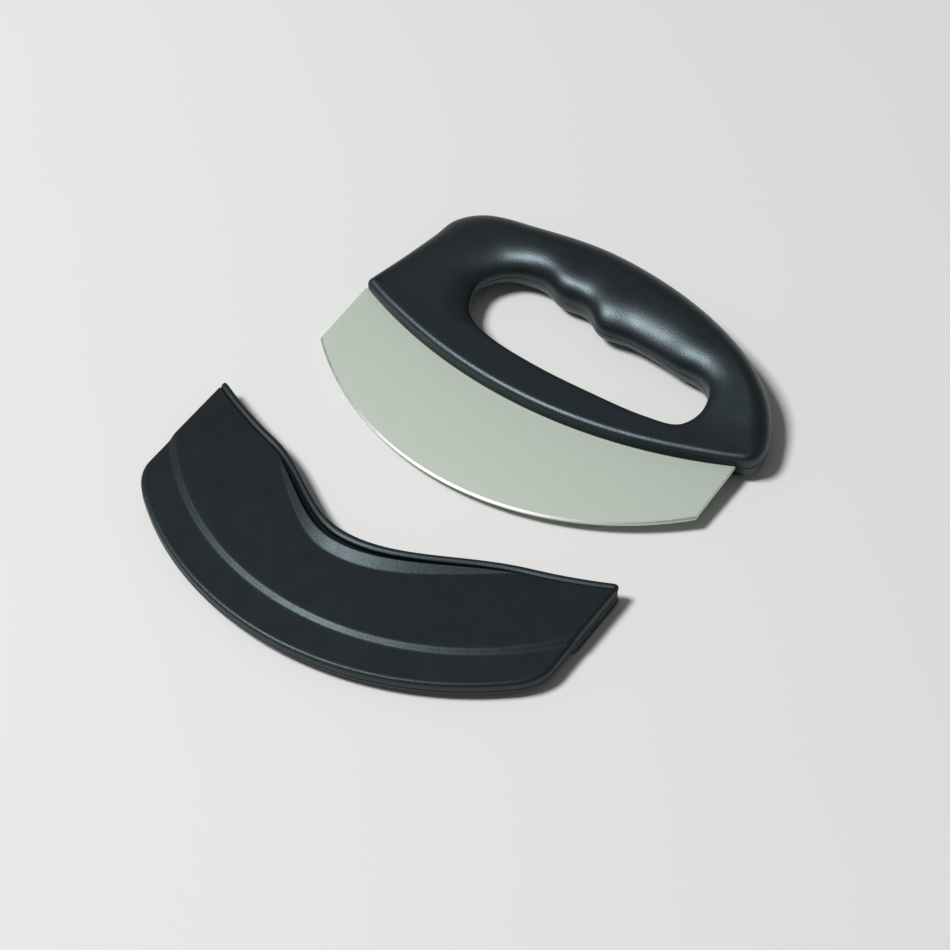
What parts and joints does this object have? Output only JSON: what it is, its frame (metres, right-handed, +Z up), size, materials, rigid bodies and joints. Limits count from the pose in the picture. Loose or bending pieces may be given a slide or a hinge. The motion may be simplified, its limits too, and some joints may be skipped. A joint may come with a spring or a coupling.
{
  "type": "rocking pizza cutter with sheath",
  "caption": "Rocking pizza cutter: an arc-edged steel blade in a D-ring moulded handle with finger ridges, lying beside its slide-off black blade sheath with a thumb lip.",
  "frame": {"origin": "on the surface that the cutter lies on, under the middle of the whole object's box", "axes": "+X along the blade, towards the end with the lower handle post; +Y across the blade from its edge towards the handle; +Z up out of the surface"},
  "size_m": [0.1872, 0.219, 0.0205],
  "materials": {
    "steel": "finely brushed across the blade, ground edge bevel",
    "handle_plastic": "satin black moulded plastic",
    "sheath_plastic": "satin black moulded plastic with a fine grain"
  },
  "bodies": {
    "cutter": {"blade": "steel", "handle_front_shell": "handle_plastic", "handle_rear_shell": "handle_plastic", "tang_pin_1": "steel", "tang_pin_2": "steel", "tang_pin_3": "steel", "tang_pin_4": "steel", "tang_pin_5": "steel"},
    "sheath": {"sheath_front_shell": "sheath_plastic", "sheath_back_shell": "sheath_plastic"}
  },
  "joints": [
    {"name": "sheath_slide", "type": "slide", "parent": "cutter", "child": "sheath", "axis": [0.1681, 0.9856, 0.0164], "range_m": [0, 0.0702]}
  ]
}
